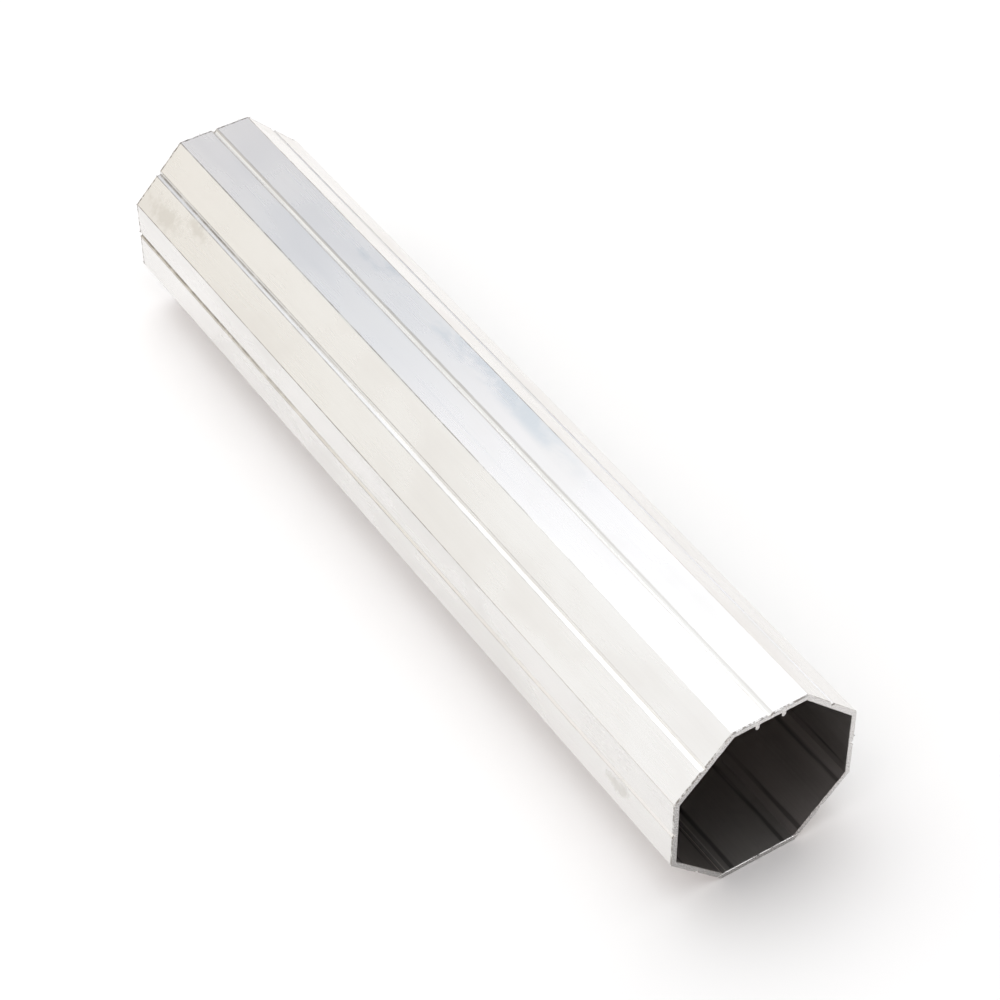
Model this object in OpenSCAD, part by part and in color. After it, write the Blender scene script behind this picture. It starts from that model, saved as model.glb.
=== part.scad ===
// Octagonal aluminium tube: one extruded length, sawn square at both ends.
// It lies on its bottom flat along Y, with the origin under its middle.

/* [Tube] */
// Distance across opposite flats, outside, in mm
across_flats = 70; // [60:1:100]
// Length of the cut piece
tube_length = 350; // [100:10:1000]
// Wall thickness of each flat
wall = 1.9; // [1.6:0.1:2.4]

/* [Grooves] */
// Width of the V groove at its mouth, one along the middle of each flat
groove_w = 2.4; // [1:0.1:4]
// Depth of the V groove
groove_depth = 1.1; // [0.4:0.1:1.2]

/* [Ribs] */
// Distance between the middles of the two ribs under the top flat
rib_spacing = 10; // [5:0.5:14]
// Thickness of a rib, which is also the diameter of its round tip
rib_w = 1.5; // [0.8:0.1:2.4]
// Height of a rib below the inside face
rib_h = 2; // [1.6:0.1:4]

/* [Hidden] */

SIDES = 8;
SIDE_STEP = 360 / SIDES;
// A cutter reaches this far past the face that it opens
CLEAR = 1;
// A rib starts this far up inside the wall
BITE = wall / 3;
inner_flats = across_flats - 2 * wall;

// Regular octagon with a flat at the top, from its size across flats
module octagon(flats) {
    rotate(SIDE_STEP / 2) circle(r = flats / 2 / cos(SIDE_STEP / 2), $fn = SIDES);
}

// V groove open to the outside, in the top flat; its sides run on past the face
module groove() {
    root = across_flats / 2 - groove_depth;
    flare = groove_w / 2 / groove_depth;
    reach = groove_depth + CLEAR;
    polygon([[0, root], [reach * flare, root + reach], [-reach * flare, root + reach]]);
}

// One rib that hangs from the inside of the top flat, with a round tip
module rib() {
    tip_r = rib_w / 2;
    tip_centre = inner_flats / 2 - rib_h + tip_r;
    translate([-tip_r, tip_centre]) square([rib_w, rib_h - tip_r + BITE]);
    translate([0, tip_centre]) circle(r = tip_r, $fn = 48);
}

// Cross-section of the extrusion
module section() {
    difference() {
        octagon(across_flats);
        octagon(inner_flats);
        for (i = [0 : SIDES - 1]) rotate(i * SIDE_STEP) groove();
    }
    for (side = [-1, 1]) translate([side * rib_spacing / 2, 0]) rib();
}

// The whole tube, with the ribbed flat up
module octagonal_tube() {
    color([0.86, 0.86, 0.85])
        translate([0, 0, across_flats / 2])
            rotate([90, 0, 0])
                linear_extrude(height = tube_length, center = true) section();
}

octagonal_tube();
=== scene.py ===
"""Octagonal aluminium tube: a sawn length of extruded roller tube, lying on one flat."""

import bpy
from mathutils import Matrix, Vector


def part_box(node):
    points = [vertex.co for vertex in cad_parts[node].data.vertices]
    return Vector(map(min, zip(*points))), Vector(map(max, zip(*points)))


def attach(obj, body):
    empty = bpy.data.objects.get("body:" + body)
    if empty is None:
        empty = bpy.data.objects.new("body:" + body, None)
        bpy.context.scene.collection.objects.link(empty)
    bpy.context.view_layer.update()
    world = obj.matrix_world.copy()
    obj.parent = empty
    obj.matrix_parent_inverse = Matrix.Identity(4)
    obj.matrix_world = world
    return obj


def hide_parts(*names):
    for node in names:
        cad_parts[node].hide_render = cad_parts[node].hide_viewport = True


bl_info = {
    "name": "Octagonal Aluminium Tube",
    "version": (1, 0, 0),
    "blender": (4, 5, 0),
    "location": "View3D > Sidebar > Tube",
    "description": "Builds a sawn length of octagonal aluminium tube on a plain studio floor",
    "category": "Add Mesh",
}

import math

import bpy
from bpy.props import FloatProperty, FloatVectorProperty, IntProperty, PointerProperty
from bpy.types import Operator, Panel, PropertyGroup
from mathutils import Quaternion, Vector

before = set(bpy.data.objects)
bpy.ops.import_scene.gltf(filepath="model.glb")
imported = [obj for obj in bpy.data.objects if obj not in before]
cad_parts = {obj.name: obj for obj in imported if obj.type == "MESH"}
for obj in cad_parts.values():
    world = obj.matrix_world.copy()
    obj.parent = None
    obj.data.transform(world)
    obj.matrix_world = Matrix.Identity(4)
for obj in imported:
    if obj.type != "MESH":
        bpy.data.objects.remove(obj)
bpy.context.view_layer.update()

NODE = "octagonal_tube"
LOW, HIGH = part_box(NODE)
SIDES = 8
SIDE_STEP = 360 / SIDES
MM = 0.001

SMOOTH_BELOW = math.radians(32)  # an edge with a wider angle than this stays sharp
SAWN_LEAN = 0.12  # a face whose normal leans further along the tube than this is sawn
FLOOR_REACH = 6.0
FLOOR_GAP = 0.05 * MM

# At the front end, the inner edge of the bottom wall is dressed: it has a wider bevel, with a
# painted highlight along it.
DRESSED_BELOW = 2.2 * MM
HIGHLIGHT_BAND = (1.74 * MM, 2.1 * MM)
HIGHLIGHT_PAINT = (0.97, 0.96, 0.95, 1.0)

# Where the bluish film and its haze start and stop along the top flat.
FILM_RUN = (-0.052, 0.098)
HAZE_RUN = (0.01, 0.135)

# Smudges on the outside: the middle of each, then how far it reaches across and along.
SMUDGES = (
    ((-0.0305, 0.158, 0.0530), 5.0 * MM, 13.0 * MM),
    ((-0.0270, 0.140, 0.0570), 3.5 * MM, 8.0 * MM),
    ((-0.0350, -0.145, 0.0300), 4.0 * MM, 7.0 * MM),
)

# The studio's soft light: its colour at seven heights (sine of the elevation), seen from the tube
# in eight directions, in degrees from the back through the right. One ceiling closes them all.
SKY_HEIGHTS = (0.0, 0.2, 0.4, 0.55, 0.66, 0.76, 0.88)
SKY = {
    0: ((1.6, 1.4, 1.2), (1.3, 1.1, 0.95), (1.0, 0.85, 0.75), (0.45, 0.45, 0.45),
        (0.45, 0.45, 0.5), (1.45, 1.5, 1.55), (2.5, 2.6, 2.65)),
    45: ((2.2, 2.0, 1.8), (2.05, 1.85, 1.7), (1.4, 1.3, 1.25), (0.55, 0.6, 0.65),
         (0.8, 0.8, 0.9), (1.7, 1.7, 1.7), (1.8, 1.85, 1.9)),
    90: ((1.65, 1.45, 1.3), (1.35, 1.2, 1.1), (0.8, 0.75, 0.7), (0.4, 0.4, 0.4),
         (0.45, 0.45, 0.45), (0.75, 0.8, 0.8), (1.1, 1.1, 1.1)),
    135: ((0.8, 0.75, 0.7), (0.4, 0.4, 0.4), (0.0, 0.05, 0.1), (0.0, 0.0, 0.0),
          (0.0, 0.0, 0.05), (0.2, 0.25, 0.3), (1.05, 1.05, 1.05)),
    180: ((0.6, 0.5, 0.45), (0.2, 0.15, 0.15), (0.0, 0.0, 0.0), (0.0, 0.0, 0.0),
          (0.15, 0.1, 0.15), (0.4, 0.4, 0.4), (1.0, 1.0, 1.0)),
    225: ((0.9, 0.7, 0.65), (0.7, 0.55, 0.5), (0.6, 0.5, 0.5), (0.65, 0.55, 0.5),
          (0.75, 0.65, 0.6), (1.0, 0.85, 0.85), (1.55, 1.55, 1.5)),
    270: ((1.2, 1.0, 0.9), (1.2, 1.1, 1.1), (1.3, 1.35, 1.5), (1.15, 1.15, 1.2),
          (1.25, 1.15, 1.15), (1.65, 1.55, 1.5), (2.15, 2.1, 2.05)),
    315: ((1.2, 1.0, 0.85), (0.75, 0.7, 0.55), (1.1, 1.1, 1.1), (1.15, 1.2, 1.2),
          (1.3, 1.25, 1.2), (1.8, 1.8, 1.8), (2.3, 2.35, 2.35)),
}
CEILING = (2.15, 2.2, 2.2)
SKY_TOP = 4.0  # brightest value that a ramp has to hold


# ---------------------------------------------------------------- settings


class TubeSizes(PropertyGroup):
    """Sizes of the extrusion and of its sawn ends."""

    across_flats: FloatProperty(
        name="Across Flats", description="Outside size between opposite flats",
        default=HIGH.z - LOW.z, unit="LENGTH")
    length: FloatProperty(
        name="Length", description="Length of the cut piece",
        default=HIGH.y - LOW.y, unit="LENGTH")
    wall: FloatProperty(
        name="Wall", description="Thickness of each flat", default=1.9 * MM, unit="LENGTH")
    corner_radius: FloatProperty(
        name="Corner Radius", description="Radius of the outer corners",
        default=0.5 * MM, unit="LENGTH")
    inner_radius: FloatProperty(
        name="Inner Corner Radius", description="Radius of the inner corners",
        default=0.3 * MM, unit="LENGTH")
    groove_width: FloatProperty(
        name="Groove Width", description="Mouth of the V groove along each flat",
        default=2.4 * MM, unit="LENGTH")
    groove_depth: FloatProperty(
        name="Groove Depth", description="Depth of the V groove", default=1.1 * MM, unit="LENGTH")
    lip_radius: FloatProperty(
        name="Lip Radius", description="Radius of the groove's lips and of its root",
        default=0.16 * MM, unit="LENGTH")
    rib_spacing: FloatProperty(
        name="Rib Spacing", description="Distance between the middles of the two inner ribs",
        default=10 * MM, unit="LENGTH")
    rib_width: FloatProperty(
        name="Rib Width", description="Thickness of a rib, with a round tip",
        default=1.5 * MM, unit="LENGTH")
    rib_height: FloatProperty(
        name="Rib Height", description="How far a rib stands in from the wall",
        default=2 * MM, unit="LENGTH")
    rib_fillet: FloatProperty(
        name="Rib Fillet", description="Radius where a rib meets the wall",
        default=0.25 * MM, unit="LENGTH")
    spacing: FloatProperty(
        name="Spacing", description="Distance between mesh lines across a flat",
        default=0.5 * MM, unit="LENGTH")
    rings: IntProperty(
        name="Rings", description="Steps in which the section is drawn out", default=28, min=2)
    edge_break: FloatProperty(
        name="Edge Break", description="Bevel left on a sawn edge; an inner edge has twice this",
        default=0.12 * MM, unit="LENGTH")
    saw_depth: FloatProperty(
        name="Saw Marks", description="Height of the marks on a sawn face",
        default=0.05 * MM, unit="LENGTH")
    waviness: FloatProperty(
        name="Waviness", description="How far a flat strays from a true plane",
        default=0.02 * MM, unit="LENGTH")
    burr_size: FloatProperty(
        name="Burr Size", description="Length of a torn sliver on a sawn edge",
        default=0.5 * MM, unit="LENGTH")
    burr_share: FloatProperty(
        name="Burr Share", description="Share of the points on a sawn edge that carry a sliver",
        default=0.05, min=0.0, max=1.0, subtype="FACTOR")
    seed: IntProperty(name="Seed", description="Seed for the burrs", default=7)


class FinishColours(PropertyGroup):
    """Colours of the bare metal."""

    metal: FloatVectorProperty(
        name="Metal", description="Clean mill-finish aluminium", subtype="COLOR", size=4,
        default=(0.834, 0.827, 0.813, 1))
    dull: FloatVectorProperty(
        name="Dull Metal", description="Aluminium under a thicker oxide skin", subtype="COLOR",
        size=4, default=(0.747, 0.737, 0.72, 1))
    film: FloatVectorProperty(
        name="Blue Film", description="Bluish oxide film in cloudy streaks", subtype="COLOR",
        size=4, default=(0.58, 0.63, 0.66, 1))
    stain: FloatVectorProperty(
        name="Stain", description="Grease smudges and handling marks", subtype="COLOR", size=4,
        default=(0.46, 0.44, 0.38, 1))
    # Grime is partly dirt and partly painted shade: dark lines in corners, grooves and round the
    # sawn edges.
    grime_and_shade: FloatVectorProperty(
        name="Grime", description="Dark dirt held by corners, grooves and sawn edges",
        subtype="COLOR", size=4, default=(0.17, 0.15, 0.13, 1))
    # The burrs' dark colour is painted shade.
    burr_shade: FloatVectorProperty(
        name="Burr", description="Torn metal that stands up and catches no light",
        subtype="COLOR", size=4, default=(0.16, 0.15, 0.14, 1))
    # The bore colour is partly a duller finish and partly painted shade of the unlit inside.
    bore_and_shade: FloatVectorProperty(
        name="Bore", description="Dull unpolished inside of the tube", subtype="COLOR", size=4,
        default=(0.49, 0.465, 0.45, 1))
    cut: FloatVectorProperty(
        name="Cut", description="Freshly sawn aluminium", subtype="COLOR", size=4,
        default=(0.76, 0.746, 0.732, 1))


class StageSettings(PropertyGroup):
    """Floor, light and camera."""

    floor: FloatVectorProperty(
        name="Floor", description="Colour of the pale floor", subtype="COLOR", size=4,
        default=(0.93, 0.93, 0.93, 1))
    sky_power: FloatProperty(
        name="Sky Strength", description="Strength of the soft light all round", default=1.0)
    azimuth: FloatProperty(
        name="Azimuth", description="Camera's turn round the tube",
        default=math.radians(-32.64), subtype="ANGLE")
    elevation: FloatProperty(
        name="Elevation", description="Camera's height above the horizon",
        default=math.radians(44.47), subtype="ANGLE")
    roll: FloatProperty(
        name="Roll", description="Camera's tilt about its own axis",
        default=math.radians(-0.436), subtype="ANGLE")
    distance: FloatProperty(
        name="Distance", description="From the camera to the point it looks at",
        default=0.9986, unit="LENGTH")
    lens: FloatProperty(name="Lens", description="Focal length in millimetres", default=102.98)
    aim: FloatVectorProperty(
        name="Aim", description="From the middle of the tube to the point that the camera looks at",
        subtype="TRANSLATION", size=3, default=(0.0058, -0.0140, -0.0089))


# ---------------------------------------------------------------- node helper


class Nodes:
    """Adds nodes to a tree and joins them, so that each recipe below reads as a list."""

    def __init__(self, tree):
        self.tree = tree

    def add(self, kind, inputs=None, **settings):
        """A node with its settings, and its inputs given as values or as sockets to join."""
        node = self.tree.nodes.new(kind)
        for name, value in settings.items():
            setattr(node, name, value)
        for name, value in (inputs or {}).items():
            self.feed(value, node.inputs[name])
        return node

    def feed(self, value, socket):
        """Joins a socket, or sets a plain value."""
        if isinstance(value, bpy.types.NodeSocket):
            self.tree.links.new(value, socket)
        else:
            socket.default_value = value

    def math(self, operation, first, second=0.0, clamp=False):
        """One sum with numbers or fields."""
        node = self.add("ShaderNodeMath", {0: first, 1: second}, operation=operation)
        node.use_clamp = clamp
        return node.outputs[0]

    def vector(self, operation, first, second=(0.0, 0.0, 0.0)):
        """One sum with vectors."""
        return self.add("ShaderNodeVectorMath", {0: first, 1: second}, operation=operation).outputs

    def span(self, value, low, high, to_low=0.0, to_high=1.0, smooth=True):
        """Moves a value from one range to another and keeps it inside."""
        kind = "SMOOTHSTEP" if smooth else "LINEAR"
        node = self.add("ShaderNodeMapRange", {
            "Value": value, "From Min": low, "From Max": high, "To Min": to_low, "To Max": to_high,
        }, interpolation_type=kind)
        return node.outputs["Result"]

    def times(self, first, *others):
        """A product of numbers or fields."""
        for other in others:
            first = self.math("MULTIPLY", first, other)
        return first

    def most(self, first, *others):
        """The largest of some numbers or fields."""
        for other in others:
            first = self.math("MAXIMUM", first, other)
        return first

    def blend(self, share, first, second):
        """Mixes two colours."""
        node = self.add("ShaderNodeMix", data_type="RGBA")
        colours = [s for s in node.inputs if s.type == "RGBA"]
        self.feed(share, node.inputs[0])
        self.feed(first, colours[0])
        self.feed(second, colours[1])
        return next(s for s in node.outputs if s.type == "RGBA")

    def noise(self, place, scale, detail=2.0, roughness=0.5, distortion=0.0):
        """Soft noise from 0 to 1 at a place."""
        node = self.add("ShaderNodeTexNoise", {
            "Vector": place, "Scale": scale, "Detail": detail, "Roughness": roughness,
            "Distortion": distortion,
        })
        return node.outputs[0]


def new_inputs(tree, sockets):
    """Gives a geometry tree its geometry sockets and its named inputs."""
    tree.interface.new_socket("Geometry", in_out="INPUT", socket_type="NodeSocketGeometry")
    tree.interface.new_socket("Geometry", in_out="OUTPUT", socket_type="NodeSocketGeometry")
    for name, kind in sockets.items():
        tree.interface.new_socket(name, in_out="INPUT", socket_type="NodeSocket" + kind)


def run_tree(obj, tree, values):
    """Runs a geometry tree on an object and leaves its result as the object's plain mesh."""
    modifier = obj.modifiers.new(tree.name, "NODES")
    modifier.node_group = tree
    for item in tree.interface.items_tree:
        if item.in_out == "INPUT" and item.name in values:
            modifier[item.identifier] = values[item.name]
    bpy.context.view_layer.update()
    evaluated = obj.evaluated_get(bpy.context.evaluated_depsgraph_get())
    made = bpy.data.meshes.new_from_object(evaluated)
    obj.modifiers.remove(modifier)
    obj.data = made
    made.name = obj.name
    if not made.polygons:
        raise RuntimeError(f"{tree.name} made no faces on {obj.name}")
    return obj


def new_object(name, mesh):
    """An object at the origin in the scene's own collection."""
    obj = bpy.data.objects.new(name, mesh)
    bpy.context.scene.collection.objects.link(obj)
    return obj


# ---------------------------------------------------------------- cross-section


def arc(centre, radius, start, stop, steps):
    """Points on an arc, with the angles in degrees."""
    turns = (math.radians(start + (stop - start) * i / steps) for i in range(steps + 1))
    return [(centre[0] + radius * math.cos(a), centre[1] + radius * math.sin(a)) for a in turns]


def between(start, stop, step):
    """Evenly spaced numbers between two ends, without the ends."""
    count = max(1, round((stop - start) / step))
    return [start + (stop - start) * i / count for i in range(1, count)]


class Section:
    """The cross-section as stations round the tube: pairs of an outside and an inside point.
    A flat is drawn as the top one, with u to the right and v up from the tube's axis."""

    CORNER_STEPS = 6
    SMALL_STEPS = 4
    TIP_STEPS = 14

    def __init__(self, sizes):
        self.s = sizes
        half = math.radians(SIDE_STEP / 2)
        self.face = sizes.across_flats / 2
        self.inside = self.face - sizes.wall
        self.reach = self.face / math.cos(half)
        self.inner_reach = self.inside / math.cos(half)
        self.end = (self.face - sizes.corner_radius) * math.tan(half)
        self.inner_end = (self.inside - sizes.inner_radius) * math.tan(half)
        self.ratio = self.inner_end / self.end

    def plain(self, start, stop):
        """Stations on the bare wall between two places across the flat."""
        places = between(start, stop, self.s.spacing)
        return [((u, self.face), (u * self.ratio, self.inside)) for u in places]

    def groove(self):
        """Stations across the V groove, with rounded lips and root."""
        half_width, depth, radius = self.s.groove_width / 2, self.s.groove_depth, self.s.lip_radius
        slope = math.atan2(depth, half_width)
        degrees = math.degrees(slope)
        lip = half_width + radius * math.tan(slope / 2)
        root = self.face - depth + radius / math.cos(slope)
        outside = arc((-lip, self.face - radius), radius, 90, 90 - degrees, self.SMALL_STEPS)
        outside += arc((0, root), radius, 270 - degrees, 270 + degrees, self.SMALL_STEPS)
        outside += arc((lip, self.face - radius), radius, 90 + degrees, 90, self.SMALL_STEPS)
        return [(point, (point[0] * self.ratio, self.inside)) for point in outside]

    def rib(self, middle):
        """Stations round one rib, with a round tip and a fillet at each side."""
        half_width, fillet = self.s.rib_width / 2, self.s.rib_fillet
        tip = (middle, self.inside - self.s.rib_height + half_width)
        corner_v = self.inside - fillet
        points = arc((middle - half_width - fillet, corner_v), fillet, 90, 0, self.SMALL_STEPS)
        points += arc(tip, half_width, 180, 360, self.TIP_STEPS)
        points += arc((middle + half_width + fillet, corner_v), fillet, 180, 90, self.SMALL_STEPS)
        first, last = points[0][0] / self.ratio, points[-1][0] / self.ratio
        share = (last - first) / (len(points) - 1)
        return [((first + i * share, self.face), point) for i, point in enumerate(points)]

    def corner(self):
        """Stations round the corner at the right-hand end of the flat."""
        half = math.radians(SIDE_STEP / 2)
        rounds = []
        for reach, radius in ((self.reach, self.s.corner_radius),
                              (self.inner_reach, self.s.inner_radius)):
            out = reach - radius / math.cos(half)
            centre = (out * math.sin(half), out * math.cos(half))
            rounds.append(arc(centre, radius, 90, 90 - SIDE_STEP, self.CORNER_STEPS))
        return list(zip(*rounds))

    def flat(self, ribbed):
        """All stations of one flat, from just after its left corner to the end of its right one."""
        features = [self.groove()]
        if ribbed:
            side = self.s.rib_spacing / 2
            features = [self.rib(-side), self.groove(), self.rib(side)]
        stations, here = [], -self.end
        for feature in features:
            stations += self.plain(here, feature[0][0][0]) + feature
            here = feature[-1][0][0]
        return stations + self.plain(here, self.end) + self.corner()

    def mesh(self):
        """The section as a flat ring of quads at the front end, facing along the tube."""
        stations = []
        for side in range(SIDES):
            turn = math.radians(-SIDE_STEP * side)
            cos, sin = math.cos(turn), math.sin(turn)
            for pair in self.flat(ribbed=side == 0):
                near_lip = abs(pair[0][0] - self.s.groove_width / 2) < 0.4 * MM
                turned = [(u * cos - v * sin, u * sin + v * cos) for u, v in pair]
                stations.append((*turned, float(near_lip)))
        edge = self.s.edge_break / self.s.wall
        turn = 1 - math.sqrt(0.5)
        shares = (0, edge, 0.25, 0.5, 0.75, 1 - 2 * edge, 1 - 2 * edge * turn, 1)
        depths = (1.0, 0.0, 0.0, 0.0, 0.0, 0.0, -turn, -1.0)
        loops, count = len(shares), len(stations)
        points, skin, lip = [], [], []
        for outer, inner, near_lip in stations:
            for share, depth in zip(shares, depths):
                x, z = (a + (b - a) * share for a, b in zip(outer, inner))
                points.append((x, -self.s.length / 2, z + self.face))
                skin.append(depth)
                lip.append(near_lip if share == 0 else 0.0)
        faces = []
        for i in range(count):
            near, far = i * loops, (i + 1) % count * loops
            faces += [(near + j, far + j, far + j + 1, near + j + 1) for j in range(loops - 1)]
        mesh = bpy.data.meshes.new(NODE)
        mesh.from_pydata(points, [], faces)
        for name, values in (("skin", skin), ("lip", lip)):
            mesh.attributes.new(name, "FLOAT", "POINT").data.foreach_set("value", values)
        return mesh


# ---------------------------------------------------------------- geometry trees


def drawing_tree():
    """Draws a flat section out into a tube with sawn ends."""
    tree = bpy.data.node_groups.new("Draw Out", "GeometryNodeTree")
    new_inputs(tree, {
        "Length": "Float", "Rings": "Int", "Edge Break": "Float", "Saw Marks": "Float",
        "Waviness": "Float", "Axis Height": "Float", "Outside": "Material", "Inside": "Material",
        "Cut": "Material",
    })
    n = Nodes(tree)
    given = n.add("NodeGroupInput").outputs

    # The section moves along in steps and leaves its walls behind.
    step = n.math("DIVIDE", given["Length"], given["Rings"])
    start = n.add("GeometryNodeRepeatInput")
    stop = n.add("GeometryNodeRepeatOutput")
    start.pair_with_output(stop)
    stop.repeat_items.new("BOOLEAN", "Front")
    n.feed(given["Rings"], start.inputs["Iterations"])
    n.feed(given["Geometry"], start.inputs["Geometry"])
    n.feed(True, start.inputs["Front"])
    push = n.add("GeometryNodeExtrudeMesh", {
        "Mesh": start.outputs["Geometry"], "Selection": start.outputs["Front"],
        "Offset": n.add("ShaderNodeCombineXYZ", {"Y": step}).outputs[0], "Individual": False,
    })
    n.feed(push.outputs["Mesh"], stop.inputs["Geometry"])
    n.feed(push.outputs["Top"], stop.inputs["Front"])

    # A turned copy of the section shuts the first end.
    shut = n.add("GeometryNodeFlipFaces", {"Mesh": given["Geometry"]})
    both = n.add("GeometryNodeJoinGeometry")
    n.feed(stop.outputs["Geometry"], both.inputs[0])
    n.feed(shut.outputs[0], both.inputs[0])
    closed = n.add("GeometryNodeMergeByDistance", {"Geometry": both.outputs[0], "Distance": 1e-6})

    place = n.add("GeometryNodeInputPosition").outputs[0]
    parts = n.add("ShaderNodeSeparateXYZ", {0: place}).outputs
    skin = n.add("GeometryNodeInputNamedAttribute", {"Name": "skin"}).outputs[0]
    on_skin = n.math("ABSOLUTE", skin)
    half = n.times(given["Length"], 0.5)
    at_end = n.math("GREATER_THAN", n.math("ABSOLUTE", parts["Y"]), n.math("SUBTRACT", half, 1e-5))
    outwards = n.math("SIGN", parts["Y"])

    # Each sawn face gets shallow marks, and its edges an uneven bevel. A dressed edge has a wider
    # one that never thins out.
    grain = n.math("SUBTRACT", n.noise(place, 1100.0, 3.0, 0.6), 0.5)
    marks = n.times(grain, given["Saw Marks"], 2.0, n.math("SUBTRACT", 1.0, on_skin))
    dressed = n.times(n.math("LESS_THAN", parts["Z"], DRESSED_BELOW),
                      n.math("LESS_THAN", parts["Y"], 0.0))
    uneven = n.most(n.span(n.noise(place, 420.0, 2.0), 0.3, 0.7, 0.35, 1.25), dressed)
    deeper = n.span(skin, -1.0, 1.0, n.math("ADD", 2.0, n.times(dressed, 0.6)), 1.0)
    bevel = n.times(on_skin, given["Edge Break"], uneven, deeper)
    along = n.times(n.math("SUBTRACT", marks, bevel), outwards)
    sawn = n.add("GeometryNodeSetPosition", {
        "Geometry": closed.outputs[0], "Selection": at_end,
        "Offset": n.add("ShaderNodeCombineXYZ", {"Y": along}).outputs[0],
    })

    # The flats stray a little from true planes, the two faces of a wall together.
    level = n.math("SUBTRACT", parts["Z"], given["Axis Height"])
    radial = n.add("ShaderNodeCombineXYZ", {"X": parts["X"], "Z": level}).outputs[0]
    ray = n.vector("NORMALIZE", radial)[0]
    stretched = n.vector("MULTIPLY", place, (1.0, 0.35, 1.0))[0]
    wave = n.math("SUBTRACT", n.noise(stretched, 38.0, 1.0), 0.5)
    shift = n.add("ShaderNodeVectorMath", {
        0: ray, "Scale": n.times(wave, 2.0, given["Waviness"])}, operation="SCALE").outputs[0]
    wavy = n.add("GeometryNodeSetPosition", {"Geometry": sawn.outputs[0], "Offset": shift})

    # Only the real edges stay sharp.
    angle = n.add("GeometryNodeInputMeshEdgeAngle").outputs[0]
    smooth = n.add("GeometryNodeSetShadeSmooth", {
        "Geometry": wavy.outputs[0],
        "Shade Smooth": n.math("LESS_THAN", angle, SMOOTH_BELOW)}, domain="EDGE")
    whole = n.add("GeometryNodeRealizeInstances", {"Geometry": smooth.outputs[0]})

    # The finish goes by where a face lies and which way it looks.
    normal = n.add("GeometryNodeInputNormal").outputs[0]
    lean = n.math("ABSOLUTE", n.add("ShaderNodeSeparateXYZ", {0: normal}).outputs["Y"])
    coated = n.add("GeometryNodeSetMaterial", {
        "Geometry": whole.outputs[0], "Material": given["Outside"]})
    lined = n.add("GeometryNodeSetMaterial", {
        "Geometry": coated.outputs[0], "Material": given["Inside"],
        "Selection": n.math("LESS_THAN", skin, -0.5)})
    faced = n.add("GeometryNodeSetMaterial", {
        "Geometry": lined.outputs[0], "Material": given["Cut"],
        "Selection": n.math("GREATER_THAN", lean, SAWN_LEAN)})
    n.add("NodeGroupOutput", {"Geometry": faced.outputs[0]})
    return tree


def burr_tree():
    """Scatters torn slivers along the sawn edges of a tube."""
    tree = bpy.data.node_groups.new("Saw Burrs", "GeometryNodeTree")
    new_inputs(tree, {
        "Length": "Float", "Burr Size": "Float", "Edge Share": "Float", "Seed": "Int",
        "Metal": "Material",
    })
    n = Nodes(tree)
    given = n.add("NodeGroupInput").outputs
    place = n.add("GeometryNodeInputPosition").outputs[0]
    run = n.math("ABSOLUTE", n.add("ShaderNodeSeparateXYZ", {0: place}).outputs["Y"])
    skin = n.add("GeometryNodeInputNamedAttribute", {"Name": "skin"}).outputs[0]
    near_end = n.math("GREATER_THAN", run, n.math(
        "SUBTRACT", n.times(given["Length"], 0.5), 0.4 * MM))
    lip = n.add("GeometryNodeInputNamedAttribute", {"Name": "lip"}).outputs[0]
    chance = n.times(given["Edge Share"], n.span(lip, 0.0, 1.0, 1.0, 6.0))
    picked = n.add("FunctionNodeRandomValue", {
        "Probability": chance, "Seed": given["Seed"]}, data_type="BOOLEAN")
    chosen = n.times(near_end, n.math("ABSOLUTE", skin), picked.outputs[3])
    edge = n.add("GeometryNodeMeshToPoints", {"Mesh": given["Geometry"], "Selection": chosen})

    # One sliver: a thin cone with five sides, bent over towards its tip.
    width = n.times(given["Burr Size"], 0.24)
    tip = n.times(given["Burr Size"], 0.05)
    cone = n.add("GeometryNodeMeshCone", {
        "Vertices": 5, "Side Segments": 4, "Radius Bottom": width, "Radius Top": tip,
        "Depth": given["Burr Size"]})
    lift = n.math("DIVIDE", n.add("ShaderNodeSeparateXYZ", {0: place}).outputs["Z"],
                  given["Burr Size"])
    lean = n.times(lift, lift, n.times(0.5, given["Burr Size"]))
    bent = n.add("GeometryNodeSetPosition", {
        "Geometry": cone.outputs[0],
        "Offset": n.add("ShaderNodeCombineXYZ", {"X": lean}).outputs[0]})

    turn = n.add("FunctionNodeRandomValue", {
        0: (-1.2, -0.6, 0.0), 1: (1.2, 0.6, math.tau), "Seed": given["Seed"]},
        data_type="FLOAT_VECTOR")
    size = n.add("FunctionNodeRandomValue", {
        0: (0.5, 0.5, 0.4), 1: (1.2, 1.0, 1.5), "Seed": given["Seed"]}, data_type="FLOAT_VECTOR")
    spread = n.add("GeometryNodeInstanceOnPoints", {
        "Points": edge.outputs[0], "Instance": bent.outputs[0], "Rotation": turn.outputs[0],
        "Scale": size.outputs[0]})
    whole = n.add("GeometryNodeRealizeInstances", {"Geometry": spread.outputs[0]})
    worn = n.add("GeometryNodeSetMaterial", {
        "Geometry": whole.outputs[0], "Material": given["Metal"]})
    n.add("NodeGroupOutput", {"Geometry": worn.outputs[0]})
    return tree


# ---------------------------------------------------------------- finishes


def new_material(name, **constants):
    """A material with one Principled shader, and the helper that adds nodes to it."""
    material = bpy.data.materials.new(name)
    material.use_nodes = True
    shader = material.node_tree.nodes["Principled BSDF"]
    for socket, value in constants.items():
        shader.inputs[socket.replace("_", " ")].default_value = value
    return material, shader, Nodes(material.node_tree)


def scaled(colour, factor):
    """A colour made darker or lighter."""
    return (*(min(1.0, factor * part) for part in colour[:3]), 1.0)


def drawn_lines(n, place, scale, run, detail=2.0):
    """Lines left by the die: noise pulled out along the tube."""
    return n.noise(n.vector("MULTIPLY", place, (1.0, run, 1.0))[0], scale, detail, 0.55)


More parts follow.
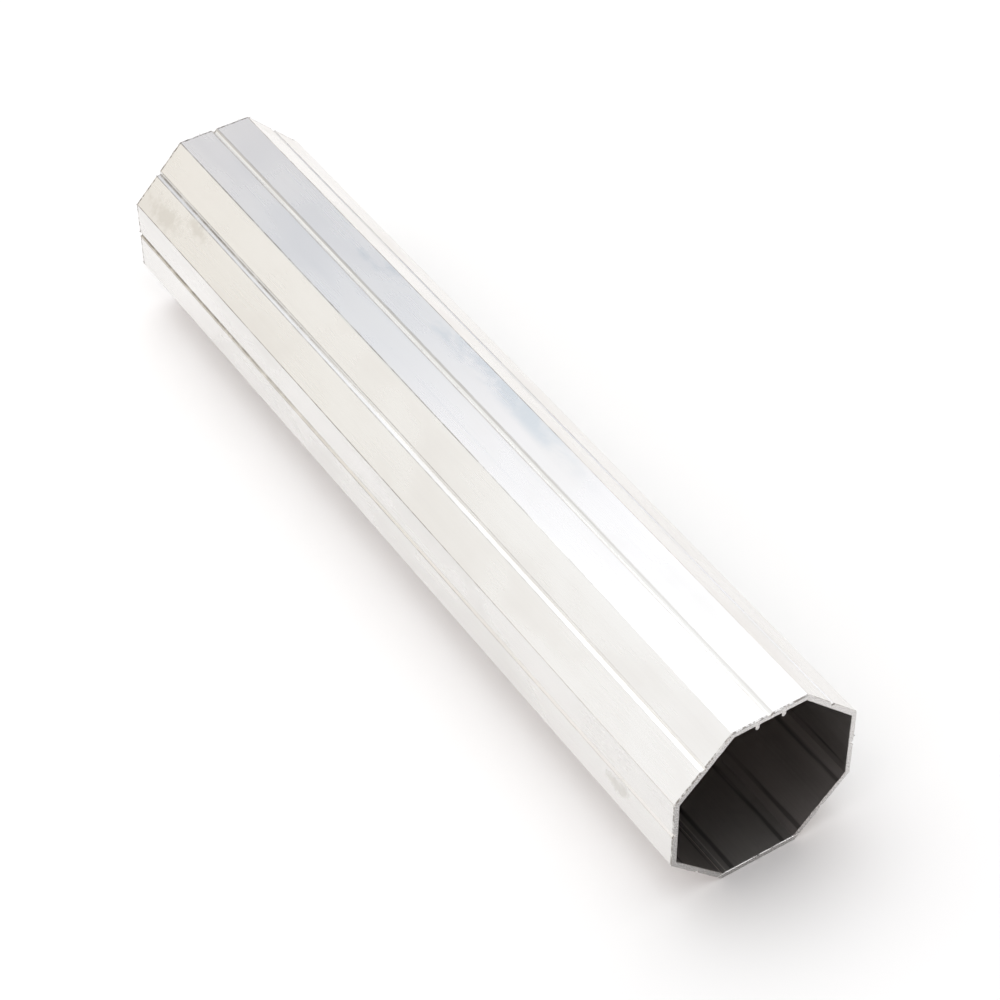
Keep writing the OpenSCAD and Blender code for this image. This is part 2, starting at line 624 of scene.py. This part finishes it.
def across(n, parts, middle):
    """How far a place lies from the middle line of its own flat, the same for all eight."""
    level = n.math("SUBTRACT", parts["Z"], middle)
    bearing = n.math("ARCTAN2", parts["X"], level)
    half = math.radians(SIDE_STEP / 2)
    folded = n.add("ShaderNodeMath", {0: bearing, 1: half, 2: -half}, operation="WRAP")
    out = n.vector("LENGTH", n.add("ShaderNodeCombineXYZ", {
        "X": parts["X"], "Z": level}).outputs[0])["Value"]
    return n.math("ABSOLUTE", n.times(n.math("SINE", folded.outputs[0]), out))


def stripe(n, value, centre, width):
    """1 on a line at one value, fading to 0 at half a width to each side."""
    off = n.math("ABSOLUTE", n.math("SUBTRACT", value, centre))
    return n.span(off, width / 2, width / 8)


def window(n, value, low, high, soft):
    """1 between two values, with soft ends."""
    rise = n.span(value, low - soft, low + soft)
    return n.times(rise, n.span(value, high + soft, high - soft))


def patch(n, place, centre, size, ragged):
    """A soft-edged patch round a point, 1 in its middle, with a ragged outline."""
    away = n.vector("DIVIDE", n.vector("SUBTRACT", place, centre)[0], size)[0]
    reach = n.vector("LENGTH", away)["Value"]
    return n.span(n.math("ADD", reach, ragged), 1.2, 0.2)


def film(n, place, parts, broad):
    """Where the bluish film lies on the top flat: blots beside one corner, streaks and haze."""
    stretched = n.vector("MULTIPLY", place, (1.0, 0.6, 1.0))[0]
    lumps = n.noise(stretched, 78.0, 4.0, 0.55, 0.3)
    blots = n.times(n.span(lumps, 0.34, 0.64), window(
        n, parts["X"], 7.5 * MM, 16 * MM, 2.4 * MM))
    streaks = n.times(n.span(broad, 0.47, 0.64, 0.0, 0.5), window(
        n, parts["X"], -9.5 * MM, -3 * MM, 1.2 * MM))
    marks = n.times(n.most(blots, streaks), window(n, parts["Y"], *FILM_RUN, 0.02))
    haze = n.times(window(n, parts["Y"], *HAZE_RUN, 0.035), 0.33)
    top = n.span(parts["Z"], HIGH.z - 0.6 * MM, HIGH.z - 0.2 * MM)
    return n.times(n.most(marks, haze), top)


def smudges(n, place):
    """Greasy patches with ragged outlines."""
    ragged = n.times(n.math("SUBTRACT", n.noise(place, 300.0, 4.0, 0.65), 0.5), 2.4)
    blots = [patch(n, place, middle, (wide, long, wide), ragged)
             for middle, wide, long in SMUDGES]
    return n.most(*blots)


def specks(n, place):
    """Single small dots, far apart."""
    cells = n.add("ShaderNodeTexVoronoi", {"Vector": place, "Scale": 85.0}, feature="F1")
    chance = n.add("ShaderNodeSeparateColor", {0: cells.outputs["Color"]}).outputs
    dots = n.math("LESS_THAN", cells.outputs["Distance"], n.times(chance[1], 0.03))
    return n.times(dots, n.math("GREATER_THAN", chance[0], 0.55))


def grime_and_shade(n, place, parts, side):
    """Dark lines along the corners, in the grooves and round the sawn edges: partly dirt, partly
    painted shade.
    """
    # The corner and lip lines are painted shade and painted reflection with some dirt, fading
    # towards the front end.
    corner = n.span(side, 14.22 * MM, 14.36 * MM)
    lips = stripe(n, side, 1.25 * MM, 0.6 * MM)
    fading = n.span(parts["Y"], -0.16, 0.02, 0.3, 1.0)
    patchy = n.span(n.noise(place, 120.0, 4.0, 0.7), 0.32, 0.62, 0.45, 1.0)
    lines = n.times(fading, patchy, n.math("ADD", n.times(corner, 0.8), n.times(lips, 0.5)))

    # Painted shade with some dirt darkens the far end of every groove but the top one, which has it
    # on its walls only.
    low = n.span(parts["Z"], HIGH.z - 3 * MM, HIGH.z - 5 * MM)
    far = n.times(n.span(parts["Y"], 0.0, 0.12), low)
    left = n.times(stripe(n, side, 0.5 * MM, 1.3 * MM), n.span(
        parts["X"], -32.5 * MM, -33.5 * MM, 0.0, 0.8))
    bed = n.most(n.times(stripe(n, side, 0.0, 1.0 * MM), 0.7), left)
    walls = n.times(stripe(n, side, 1.0 * MM, 1.0 * MM), n.math("SUBTRACT", 1.0, low))

    # Painted shade of the burrs: a ragged dark ring just inside each sawn end.
    edge = n.span(n.math("ABSOLUTE", parts["Y"]), HIGH.y - 0.9 * MM, HIGH.y - 0.5 * MM)
    torn = n.span(n.noise(place, 700.0, 2.0), 0.38, 0.6, 0.2, 0.9)
    return n.most(lines, n.times(bed, far, patchy), n.times(walls, fading, 0.45),
                  n.times(edge, torn))


def mill_finish(colours):
    """Outside: bare extruded aluminium with die lines, cloudy film, smudges, and grime mixed with
    painted shade.
    """
    material, shader, n = new_material("mill_finish", Metallic=1.0)
    place = n.add("ShaderNodeTexCoord").outputs["Object"]
    parts = n.add("ShaderNodeSeparateXYZ", {0: place}).outputs
    side = across(n, parts, (LOW.z + HIGH.z) / 2)

    fine = drawn_lines(n, place, 1250.0, 0.002)
    broad = drawn_lines(n, place, 330.0, 0.008)
    cloud = n.noise(n.vector("MULTIPLY", place, (1.0, 0.5, 1.0))[0], 48.0, 2.5, 0.5, 0.3)
    dull = n.math("ADD", n.times(n.span(fine, 0.35, 0.75), 0.06),
                  n.times(n.span(broad, 0.4, 0.75), 0.12))
    dull = n.math("ADD", dull, n.times(n.span(cloud, 0.35, 0.75), 0.6), clamp=True)
    colour = n.blend(dull, tuple(colours.metal), tuple(colours.dull))
    blue = n.times(film(n, place, parts, broad), 0.75)
    colour = n.blend(blue, colour, tuple(colours.film))

    stain = n.times(smudges(n, place), 0.35)
    spots = n.times(specks(n, place), 0.6)
    colour = n.blend(n.math("ADD", stain, spots, clamp=True), colour, tuple(colours.stain))
    # Painted shade with some dirt: dark lines at corners, grooves and sawn edges.
    colour = n.blend(grime_and_shade(n, place, parts, side), colour, tuple(colours.grime_and_shade))
    n.feed(colour, shader.inputs["Base Color"])

    rough = n.math("ADD", n.span(cloud, 0.3, 0.75, 0.22, 0.28), n.times(fine, 0.05))
    n.feed(n.math("ADD", rough, n.times(stain, 0.3)), shader.inputs["Roughness"])

    height = n.math("ADD", n.times(fine, 0.2), n.times(broad, 0.5))
    bump = n.add("ShaderNodeBump", {"Strength": 0.05, "Distance": 0.02 * MM, "Height": height})
    n.feed(bump.outputs[0], shader.inputs["Normal"])
    return material


def bore_finish(colours):
    """Inside: dull metal with the die's lines along it, with painted shade near its mouths and
    painted reflections beside its corners.
    """
    material, shader, n = new_material("bore_finish", Metallic=1.0)
    place = n.add("ShaderNodeTexCoord").outputs["Object"]
    parts = n.add("ShaderNodeSeparateXYZ", {0: place}).outputs
    side = across(n, parts, (LOW.z + HIGH.z) / 2)
    fine = drawn_lines(n, place, 1900.0, 0.005)
    cloud = n.noise(n.vector("MULTIPLY", place, (1.0, 0.3, 1.0))[0], 60.0, 3.0)
    share = n.math("ADD", n.times(fine, 0.2), n.span(cloud, 0.35, 0.75, 0.0, 0.2))

    # Painted reflections: broken dark lines on both sides of each corner.
    broken = n.span(drawn_lines(n, place, 240.0, 0.08), 0.42, 0.6)
    seam_reflection = n.times(stripe(n, side, 10.0 * MM, 2.4 * MM), broken)
    share = n.math("ADD", share, n.times(seam_reflection, 0.6))
    # Painted shade: darker towards both mouths.
    mouth_shade = n.span(n.math("ABSOLUTE", parts["Y"]), 0.125, 0.172, 0.0, 0.4)
    share = n.math("ADD", share, mouth_shade, clamp=True)
    colour = n.blend(share, tuple(colours.bore_and_shade), scaled(colours.bore_and_shade, 0.3))

    # A lighter line runs beside the lowest corner on the left.
    low_left = n.times(n.span(parts["X"], -12 * MM, -13 * MM), n.span(
        parts["Z"], 9 * MM, 7 * MM))
    bright = n.times(stripe(n, side, 12.4 * MM, 0.9 * MM), low_left)
    colour = n.blend(bright, colour, scaled(colours.bore_and_shade, 1.5))
    n.feed(colour, shader.inputs["Base Color"])
    n.feed(n.span(cloud, 0.3, 0.7, 0.46, 0.58), shader.inputs["Roughness"])
    bump = n.add("ShaderNodeBump", {"Strength": 0.15, "Distance": 0.02 * MM, "Height": fine})
    n.feed(bump.outputs[0], shader.inputs["Normal"])
    return material


def cut_finish(colours):
    """Sawn ends: bright torn metal with the blade's arcs and dark grains, painted shade towards the
    lower left and a painted highlight on the dressed edge.
    """
    material, shader, n = new_material("sawn_finish", Metallic=1.0)
    place = n.add("ShaderNodeTexCoord").outputs["Object"]
    grain = n.noise(place, 2400.0, 3.0, 0.65)
    swept = n.add("ShaderNodeTexWave", {
        "Vector": n.add("ShaderNodeMapping", {
            "Vector": place, "Location": (0.12, 0.0, 0.16)}).outputs[0],
        "Scale": 260.0, "Distortion": 1.6, "Detail": 2.0, "Detail Scale": 3.0,
    }, wave_type="RINGS", rings_direction="Y")
    arcs = swept.outputs[1]

    # Painted shade: the cut is darker towards the lower left.
    parts = n.add("ShaderNodeSeparateXYZ", {0: place}).outputs
    shade_slant = n.math("ADD", n.times(parts["X"], 0.8), parts["Z"])
    share = n.math("ADD", n.span(grain, 0.42, 0.64, 0.0, 0.8), n.times(arcs, 0.15))
    share = n.math("ADD", share, n.span(shade_slant, -5 * MM, 75 * MM, 0.3, -0.3, smooth=False),
                   clamp=True)
    colour = n.blend(share, tuple(colours.cut), scaled(colours.cut, 0.42))

    # Painted highlight: the dressed edge is coloured brighter, and it has none of the saw's marks.
    painted_highlight = n.times(window(n, parts["Z"], *HIGHLIGHT_BAND, 0.06 * MM),
                    n.math("LESS_THAN", parts["Y"], 0.0))
    n.feed(n.blend(painted_highlight, colour, HIGHLIGHT_PAINT), shader.inputs["Base Color"])
    rough = n.math("SUBTRACT", n.span(grain, 0.3, 0.7, 0.36, 0.6), n.times(painted_highlight, 0.22))
    n.feed(rough, shader.inputs["Roughness"])
    height = n.math("ADD", n.times(grain, 0.6), n.times(arcs, 0.5))
    height = n.times(height, n.math("SUBTRACT", 1.0, painted_highlight))
    bump = n.add("ShaderNodeBump", {"Strength": 0.7, "Distance": 0.08 * MM, "Height": height})
    n.feed(bump.outputs[0], shader.inputs["Normal"])
    return material


def floor_finish(colour):
    """Matt pale floor with hardly any grain."""
    material, shader, n = new_material("studio_floor", Roughness=0.9)
    shader.inputs["Specular IOR Level"].default_value = 0.2
    place = n.add("ShaderNodeTexCoord").outputs["Object"]
    grain = n.noise(place, 3.0, 3.0)
    n.feed(n.blend(grain, tuple(colour), scaled(colour, 0.985)), shader.inputs["Base Color"])
    return material


# ---------------------------------------------------------------- operators


class TUBE_OT_extrusion(Operator):
    """Build the octagonal tube: its section, drawn out along the axis, with sawn ends"""

    bl_idname = "tube.extrusion"
    bl_label = "Octagonal Tube"

    def execute(self, context):
        sizes, colours = context.scene.tube_sizes, context.scene.tube_colours
        tube = new_object("tube_wall", Section(sizes).mesh())
        run_tree(tube, drawing_tree(), {
            "Length": sizes.length, "Rings": sizes.rings, "Edge Break": sizes.edge_break,
            "Saw Marks": sizes.saw_depth, "Waviness": sizes.waviness,
            "Axis Height": sizes.across_flats / 2, "Outside": mill_finish(colours),
            "Inside": bore_finish(colours), "Cut": cut_finish(colours),
        })
        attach(tube, "root")
        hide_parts(NODE)
        return {"FINISHED"}


class TUBE_OT_burrs(Operator):
    """Scatter the small torn slivers that the saw left along both ends"""

    bl_idname = "tube.burrs"
    bl_label = "Saw Burrs"

    def execute(self, context):
        sizes = context.scene.tube_sizes
        colour = tuple(context.scene.tube_colours.burr_shade)
        # Painted shade: the slivers are coloured dark.
        torn = new_material("shaded_torn_edge", Metallic=1.0, Roughness=0.6, Base_Color=colour)[0]
        burrs = new_object("saw_burrs", bpy.data.objects["tube_wall"].data.copy())
        run_tree(burrs, burr_tree(), {
            "Length": sizes.length, "Burr Size": sizes.burr_size, "Edge Share": sizes.burr_share,
            "Seed": sizes.seed, "Metal": torn,
        })
        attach(burrs, "root")
        return {"FINISHED"}


def towards(azimuth, elevation):
    """Direction from the tube to a place round it: azimuth 0 is in front, at -Y."""
    return Vector((math.sin(azimuth) * math.cos(elevation),
                   -math.cos(azimuth) * math.cos(elevation), math.sin(elevation)))


class TUBE_OT_stage(Operator):
    """Set up the pale floor, the soft light and the camera"""

    bl_idname = "tube.stage"
    bl_label = "Stage"

    def execute(self, context):
        stage = context.scene.tube_stage
        self.floor(stage)
        self.sky(context.scene, stage)
        self.camera(context.scene, stage)
        context.scene.view_settings.view_transform = "Standard"
        return {"FINISHED"}

    def floor(self, stage):
        """A wide floor just under the tube."""
        reach, drop = FLOOR_REACH, LOW.z - FLOOR_GAP
        mesh = bpy.data.meshes.new("floor")
        corners = [(-reach, -reach, drop), (reach, -reach, drop), (reach, reach, drop),
                   (-reach, reach, drop)]
        mesh.from_pydata(corners, [], [(0, 1, 2, 3)])
        mesh.materials.append(floor_finish(stage.floor))
        new_object("floor", mesh)

    def sky(self, scene, stage):
        """Soft light all round, from a colour ramp by height for each direction."""
        world = bpy.data.worlds.new("studio")
        world.use_nodes = True
        scene.world = world
        n = Nodes(world.node_tree)
        where = n.add("ShaderNodeTexCoord").outputs["Generated"]
        parts = n.add("ShaderNodeSeparateXYZ", {0: where}).outputs
        bearing = n.math("ARCTAN2", parts["X"], parts["Y"])
        total = (0.0, 0.0, 0.0)
        for degrees, colours in SKY.items():
            off = n.math("SUBTRACT", bearing, math.radians(degrees))
            off = n.add("ShaderNodeMath", {0: off, 1: math.pi, 2: -math.pi}, operation="WRAP")
            off = n.math("DIVIDE", n.math("ABSOLUTE", off.outputs[0]), math.tau / len(SKY))
            share = n.math("SUBTRACT", 1.0, off, clamp=True)
            ramp = n.add("ShaderNodeValToRGB", {0: parts["Z"]})
            self.fill(ramp.color_ramp.elements, colours + (CEILING,))
            light = n.add("ShaderNodeVectorMath", {
                0: ramp.outputs[0], "Scale": share}, operation="SCALE").outputs[0]
            total = n.vector("ADD", light, total)[0]
        back = world.node_tree.nodes["Background"]
        n.feed(total, back.inputs["Color"])
        n.feed(stage.sky_power * SKY_TOP, back.inputs["Strength"])

    def fill(self, spots, colours):
        """Sets the stops of one ramp."""
        while len(spots) < len(colours):
            spots.new(0.5)
        for spot, level, colour in zip(spots, SKY_HEIGHTS + (1.0,), colours):
            spot.position = level
            spot.color = (*(part / SKY_TOP for part in colour), 1.0)

    def camera(self, scene, stage):
        """Camera high in front, on the left, looking along the tube from its near end."""
        lens = bpy.data.cameras.new("camera")
        lens.lens = stage.lens
        camera = new_object("camera", lens)
        centre = (LOW + HIGH) / 2
        aim = centre + Vector(stage.aim)
        away = towards(stage.azimuth, stage.elevation)
        camera.location = aim + away * stage.distance
        turned = (-away).to_track_quat("-Z", "Y") @ Quaternion((0, 0, 1), stage.roll)
        camera.rotation_euler = turned.to_euler()
        scene.camera = camera


class TUBE_PT_panel(Panel):
    """Sizes, colours and steps of the tube"""

    bl_idname = "TUBE_PT_panel"
    bl_label = "Octagonal Tube"
    bl_space_type = "VIEW_3D"
    bl_region_type = "UI"
    bl_category = "Tube"

    def draw(self, context):
        for group in (context.scene.tube_sizes, context.scene.tube_colours,
                      context.scene.tube_stage):
            box = self.layout.box()
            for name in group.bl_rna.properties.keys():
                if name not in {"rna_type", "name"}:
                    box.prop(group, name)
        for step in STEPS:
            self.layout.operator(step.bl_idname)


STEPS = (TUBE_OT_extrusion, TUBE_OT_burrs, TUBE_OT_stage)
GROUPS = {"tube_sizes": TubeSizes, "tube_colours": FinishColours, "tube_stage": StageSettings}


def register():
    """Adds the classes and their settings."""
    for cls in (*GROUPS.values(), *STEPS, TUBE_PT_panel):
        bpy.utils.register_class(cls)
    for name, cls in GROUPS.items():
        setattr(bpy.types.Scene, name, PointerProperty(type=cls))


def unregister():
    """Takes them away again."""
    for name in GROUPS:
        delattr(bpy.types.Scene, name)
    for cls in reversed((*GROUPS.values(), *STEPS, TUBE_PT_panel)):
        bpy.utils.unregister_class(cls)


def main():
    """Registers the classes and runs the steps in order."""
    register()
    bpy.ops.tube.extrusion()
    bpy.ops.tube.burrs()
    bpy.ops.tube.stage()


if __name__ == "__main__":
    main()
